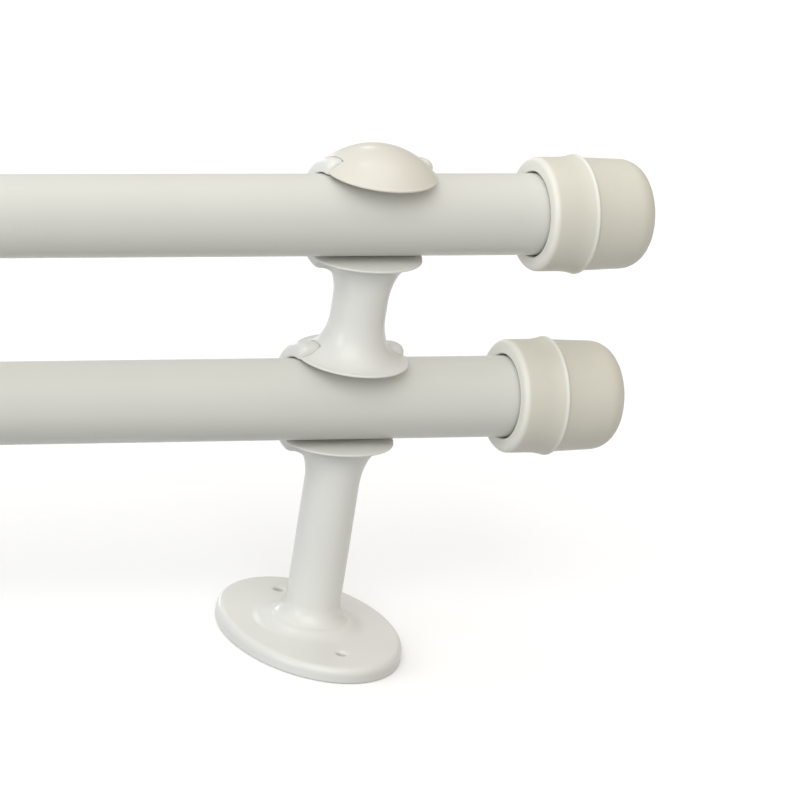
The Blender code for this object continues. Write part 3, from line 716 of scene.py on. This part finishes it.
# ---- materials ---------------------------------------------------------------
class Finish:
    """A Principled material whose colour, roughness and bump come from noise in object space."""

    def __init__(self, name, **constants):
        self.material = bpy.data.materials.new(name)
        self.material.use_nodes = True
        self.tree = self.material.node_tree
        self.shader = self.tree.nodes["Principled BSDF"]
        for socket, value in constants.items():
            self.shader.inputs[socket.replace("_", " ")].default_value = value
        self.place = self.tree.nodes.new("ShaderNodeTexCoord").outputs["Object"]
        self.height = None

    def noise(self, scale, stretch=(1, 1, 1), detail=2.0, roughness=0.5):
        """Noise of about `scale` cells a metre; a stretch below 1 draws it out along that axis."""
        mapping = self.tree.nodes.new("ShaderNodeMapping")
        mapping.inputs["Scale"].default_value = stretch
        self.tree.links.new(self.place, mapping.inputs["Vector"])
        texture = self.tree.nodes.new("ShaderNodeTexNoise")
        texture.inputs["Scale"].default_value = scale
        texture.inputs["Detail"].default_value = detail
        texture.inputs["Roughness"].default_value = roughness
        self.tree.links.new(mapping.outputs["Vector"], texture.inputs["Vector"])
        return texture.outputs["Fac"]

    def ramp(self, source, stops):
        """Colour ramp over a value, from (position, colour) stops."""
        node = self.tree.nodes.new("ShaderNodeValToRGB")
        elements = node.color_ramp.elements
        while len(elements) < len(stops):
            elements.new(1.0)
        for element, (position, colour) in zip(elements, stops):
            element.position = position
            element.color = (*colour, 1.0)
        self.tree.links.new(source, node.inputs["Fac"])
        return node.outputs["Color"]

    def height_share(self, length):
        """Share of a length along the piece's own Z."""
        split = self.tree.nodes.new("ShaderNodeSeparateXYZ")
        self.tree.links.new(self.place, split.inputs["Vector"])
        node = self.tree.nodes.new("ShaderNodeMapRange")
        node.inputs["From Max"].default_value = length
        self.tree.links.new(split.outputs["Z"], node.inputs["Value"])
        return node.outputs["Result"]

    def span(self, source, low, high):
        """Map the middle of a noise's values onto a range."""
        node = self.tree.nodes.new("ShaderNodeMapRange")
        node.inputs["From Min"].default_value = NOISE_LOW
        node.inputs["From Max"].default_value = NOISE_HIGH
        node.inputs["To Min"].default_value = low
        node.inputs["To Max"].default_value = high
        self.tree.links.new(source, node.inputs["Value"])
        return node.outputs["Result"]

    def mix(self, share, a, b):
        """Blend two colours by a value."""
        node = self.tree.nodes.new("ShaderNodeMix")
        node.data_type = "RGBA"
        self.tree.links.new(share, node.inputs["Factor"])
        for socket, colour in ((node.inputs["A"], a), (node.inputs["B"], b)):
            if isinstance(colour, tuple):
                socket.default_value = (*colour, 1.0)
            else:
                self.tree.links.new(colour, socket)
        return node.outputs["Result"]

    def paint(self, colour):
        """Use a colour output as the base colour."""
        self.tree.links.new(colour, self.shader.inputs["Base Color"])

    def dull(self, roughness):
        """Use a value output as the roughness."""
        self.tree.links.new(roughness, self.shader.inputs["Roughness"])

    def bump(self, source, depth):
        """Add relief `depth` metres deep, on top of any that is there."""
        node = self.tree.nodes.new("ShaderNodeBump")
        node.inputs["Distance"].default_value = depth
        self.tree.links.new(source, node.inputs["Height"])
        if self.height is not None:
            self.tree.links.new(self.height, node.inputs["Normal"])
        self.height = node.outputs["Normal"]
        self.tree.links.new(self.height, self.shader.inputs["Normal"])


def scaled(colour, factor):
    """A colour scaled by a factor."""
    return tuple(channel * factor for channel in colour)


def cast_enamel(name, colour):
    """Stoved enamel on a casting: soft gloss, waves, orange peel and faint clouds in its tone."""
    finish = Finish(name, Coat_Weight=0.3, Coat_Roughness=0.14)
    tone = finish.noise(scale=38, detail=3.0)
    finish.paint(finish.ramp(tone, [(0.32, scaled(colour, 0.975)), (0.68, colour)]))
    finish.dull(finish.span(finish.noise(scale=160), low=0.32, high=0.42))
    finish.bump(finish.noise(scale=70, detail=1.0), depth=0.10 * MM)
    finish.bump(finish.noise(scale=450, detail=1.0), depth=0.004 * MM)
    return finish.material


def tube_enamel():
    """Satin enamel on a drawn tube, with faint lines along its length."""
    finish = Finish("tube_enamel", Coat_Weight=0.15, Coat_Roughness=0.15)
    tone = finish.noise(scale=24, stretch=(0.5, 1, 1), detail=3.0)
    finish.paint(finish.ramp(tone, [(0.32, scaled(TUBE_WHITE, 0.975)), (0.68, TUBE_WHITE)]))
    finish.dull(finish.span(finish.noise(scale=220, stretch=(0.1, 1, 1)), low=0.36, high=0.46))
    finish.bump(finish.noise(scale=420, stretch=(0.02, 1, 1)), depth=0.010 * MM)
    finish.bump(finish.noise(scale=900), depth=0.004 * MM)
    return finish.material


def cream_plastic():
    """Satin moulded plastic with a fine skin, and painted highlights as paler rings at the mouth's
    lip and the bead's crest.
    """
    finish = Finish("cream_plastic", Subsurface_Weight=0.08, Subsurface_Scale=0.004, IOR=1.49)
    tone = finish.noise(scale=60, stretch=(0.3, 1, 1))
    # painted highlight: paler rings at the mouth's lip and the bead's crest
    painted_highlight = finish.ramp(finish.height_share(CAP_LENGTH), [
        (height * MM / CAP_LENGTH, (share, share, share)) for height, share in HIGHLIGHT_RINGS
    ])
    moulded = finish.ramp(tone, [(0.30, scaled(CREAM, 0.97)), (0.70, CREAM)])
    finish.paint(finish.mix(painted_highlight, moulded, HIGHLIGHT_CREAM))
    finish.dull(finish.span(finish.noise(scale=260), low=0.38, high=0.48))
    finish.bump(finish.noise(scale=1800, detail=1.0), depth=0.006 * MM)
    finish.bump(finish.noise(scale=90, stretch=(0.4, 1, 1)), depth=0.04 * MM)
    return finish.material


def grey_plastic():
    """Plain moulded plastic of the plugs."""
    finish = Finish("grey_plastic", IOR=1.49)
    finish.paint(finish.ramp(finish.noise(scale=120), [(0.3, scaled(GREY, 0.9)), (0.7, GREY)]))
    finish.dull(finish.span(finish.noise(scale=500), low=0.46, high=0.6))
    finish.bump(finish.noise(scale=1500, detail=3.0), depth=0.012 * MM)
    return finish.material


def zinc_plate():
    """Zinc plate: grey metal with fine spangle and a trace of blue and straw."""
    finish = Finish("zinc_plate", Metallic=1.0)
    finish.paint(finish.ramp(finish.noise(scale=400), [(0.35, ZINC_COOL), (0.65, ZINC_WARM)]))
    finish.dull(finish.span(finish.noise(scale=900, detail=4.0), low=0.24, high=0.42))
    finish.bump(finish.noise(scale=2600, detail=3.0), depth=0.006 * MM)
    return finish.material


# ---- the pieces ---------------------------------------------------------------
def place(name, mesh, material, body, node, slot, position=(0, 0, 0), rotation=None):
    """Put a piece where its CAD node is, and let it stand for that node."""
    if not mesh.materials:
        mesh.materials.append(material)
    piece = bpy.data.objects.new(name, mesh)
    bpy.context.scene.collection.objects.link(piece)
    piece.matrix_world = Matrix.Translation(position) @ (rotation or Matrix.Identity(4))
    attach(piece, body)
    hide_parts(node)
    return piece


def along_x(sign):
    """Rotation that lays +Z along +X or -X."""
    return Matrix.Rotation(math.radians(90 * sign), 4, "Y")


ALONG_Y = Matrix.Rotation(math.radians(-90), 4, "X")

CAST_FINISH = cast_enamel("cast_enamel", ENAMEL)
DOME_SHADED_FINISH = cast_enamel("dome_enamel_painted_shade", DOME_SHADED_ENAMEL)
TUBE_FINISH = tube_enamel()
CREAM_FINISH = cream_plastic()
GREY_FINISH = grey_plastic()
ZINC_FINISH = zinc_plate()

HALF_RIM = TRUMPET_LIP / 2
CASTINGS = {                        # field, and the heights of its thin edges
    "base_bracket": (base_field, [0, ROD_Z["lower"] - LEDGE_DROP - HALF_RIM]),
    "extension_arm": (arm_field, [ARM_LOW + HALF_RIM, ROD_Z["upper"] - LEDGE_DROP - HALF_RIM]),
    "dome_cap": (dome_field, [ROD_Z["upper"] + HOOD_RISE + DOME_LIP / 2]),
}
TIE_SCREWS = {"lower": "arm_screw", "upper": "dome_screw"}
for part, (field, rims) in CASTINGS.items():
    low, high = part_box("right_" + part)
    shift = Vector((POST_X, 0, 0))
    mesh = cast_mesh(part, field, low - shift, high - shift, rims)
    # the dome takes the darker enamel copy, which carries painted shade on its top
    finish = DOME_SHADED_FINISH if part == "dome_cap" else CAST_FINISH
    for side, sign in SIDES.items():
        node = f"{side}_{part}"
        place(node + "_casting", mesh, finish, "brackets", node, "enamel", (sign * POST_X, 0, 0))

TUBE = tube_mesh()
CAP = cap_mesh()
PLUG = plug_mesh()
LOCK_SCREW = lock_screw_mesh()
TIE_SCREW = tie_screw_mesh()
for level in LEVELS:
    rod = level + "_rod"
    line = Vector((0, 0, ROD_Z[level]))
    place(rod + "_tube", TUBE, TUBE_FINISH, rod, rod, "rod_enamel", line, along_x(1))
    for side, sign in SIDES.items():
        node = f"{side}_{level}_end_cap"
        mouth = line + Vector((sign * CAP_MOUTH_X, 0, 0))
        end = line + Vector((sign * ROD_HALF, 0, 0))
        back = line + Vector((sign * POST_X, 0, 0))
        outward = along_x(sign)
        place(node + "_moulding", CAP, CREAM_FINISH, node, node, "cream_plastic", mouth, outward)
        plug = f"{side}_{level}_rod_plug"
        place(plug + "_moulding", PLUG, GREY_FINISH, node, plug, "grey_plastic", end, outward)
        lock = f"{side}_{level}_lock_screw"
        place(lock + "_steel", LOCK_SCREW, ZINC_FINISH, lock, lock, "zinc_steel", back, ALONG_Y)
        tie = f"{side}_{TIE_SCREWS[level]}"
        head = back + Vector((0, 0, CRADLE_BORE + GAP))
        place(tie + "_steel", TIE_SCREW, ZINC_FINISH, "brackets", tie, "zinc_steel", head)

# ---- floor, light and camera ---------------------------------------------------
floor_shape = bmesh.new()
bmesh.ops.create_grid(floor_shape, x_segments=1, y_segments=1, size=FLOOR_HALF)
floor_mesh = bpy.data.meshes.new("floor")
floor_shape.to_mesh(floor_mesh)
floor_shape.free()
floor = bpy.data.objects.new("floor", floor_mesh)
floor.location.z = -FLOOR_DROP
paper = Finish("paper", Roughness=0.9, Specular_IOR_Level=0.2, Emission_Strength=0.08)
paper.paint(paper.ramp(paper.noise(scale=3), [(0.3, scaled(PAPER, 0.995)), (0.7, PAPER)]))
floor_mesh.materials.append(paper.material)
bpy.context.scene.collection.objects.link(floor)
floor.visible_diffuse = False       # light from below is the studio's, not the white floor's
floor.visible_shadow = False

world = bpy.data.worlds.new("studio")
bpy.context.scene.world = world
world.use_nodes = True
nodes, links = world.node_tree.nodes, world.node_tree.links
direction = nodes.new("ShaderNodeSeparateXYZ")
links.new(nodes.new("ShaderNodeTexCoord").outputs["Generated"], direction.inputs["Vector"])


def world_ramp(axis, stops):
    """Colour ramp over a direction's X, Y or Z, from -1 at its start to 1 at its end."""
    share = nodes.new("ShaderNodeMapRange")
    share.inputs["From Min"].default_value = -1.0
    links.new(direction.outputs[axis], share.inputs["Value"])
    node = nodes.new("ShaderNodeValToRGB")
    while len(node.color_ramp.elements) < len(stops):
        node.color_ramp.elements.new(1.0)
    for element, (position, colour) in zip(node.color_ramp.elements, stops):
        element.position = position
        element.color = (*colour, 1.0)
    links.new(share.outputs["Result"], node.inputs["Fac"])
    return node.outputs["Color"]


tinted = nodes.new("ShaderNodeMix")
tinted.data_type = "RGBA"
tinted.blend_type = "MULTIPLY"
tinted.inputs["Factor"].default_value = 1.0
links.new(world_ramp("Z", STUDIO), tinted.inputs["A"])
links.new(world_ramp("X", TAN_SIDE), tinted.inputs["B"])
links.new(tinted.outputs["Result"], nodes["Background"].inputs["Color"])

SUBJECT = Vector((POST_X, 0, ROD_Z["lower"]))


def softbox(name, offset, size, power, colour):
    """Square area light aimed at the bracket."""
    light = bpy.data.lights.new(name, "AREA")
    light.shape = "SQUARE"
    light.size = size
    light.energy = power
    light.color = colour
    lamp = bpy.data.objects.new(name, light)
    lamp.location = SUBJECT + Vector(offset)
    lamp.rotation_euler = (-Vector(offset)).to_track_quat("-Z", "Y").to_euler()
    lamp.visible_camera = False
    bpy.context.scene.collection.objects.link(lamp)


for name, offset, size, power, colour in SOFTBOXES:
    softbox(name, offset, size, power, colour)


def camera_axes():
    """Right, up and backward of the camera, rolled about its view."""
    azimuth, elevation = math.radians(CAMERA_AZIMUTH), math.radians(CAMERA_ELEVATION)
    roll = math.radians(CAMERA_ROLL)
    forward = Vector((
        math.sin(azimuth) * math.cos(elevation),
        math.cos(azimuth) * math.cos(elevation),
        -math.sin(elevation),
    ))
    level_right = Vector((math.cos(azimuth), -math.sin(azimuth), 0))
    level_up = level_right.cross(forward)
    right = level_right * math.cos(roll) + level_up * math.sin(roll)
    up = level_up * math.cos(roll) - level_right * math.sin(roll)
    return right, up, -forward


right, up, backward = camera_axes()
lens = bpy.data.cameras.new("camera")
lens.sensor_width = SENSOR
lens.lens = SENSOR * CAMERA_DISTANCE / CAMERA_SPAN
lens.clip_end = 4 * FLOOR_HALF
camera = bpy.data.objects.new("camera", lens)
aim = SUBJECT + right * AIM_RIGHT + up * AIM_UP
turn = Matrix((right, up, backward)).transposed().to_4x4()
camera.matrix_world = Matrix.Translation(aim + backward * CAMERA_DISTANCE) @ turn
bpy.context.scene.collection.objects.link(camera)
bpy.context.scene.camera = camera
bpy.context.scene.view_settings.view_transform = "Standard"
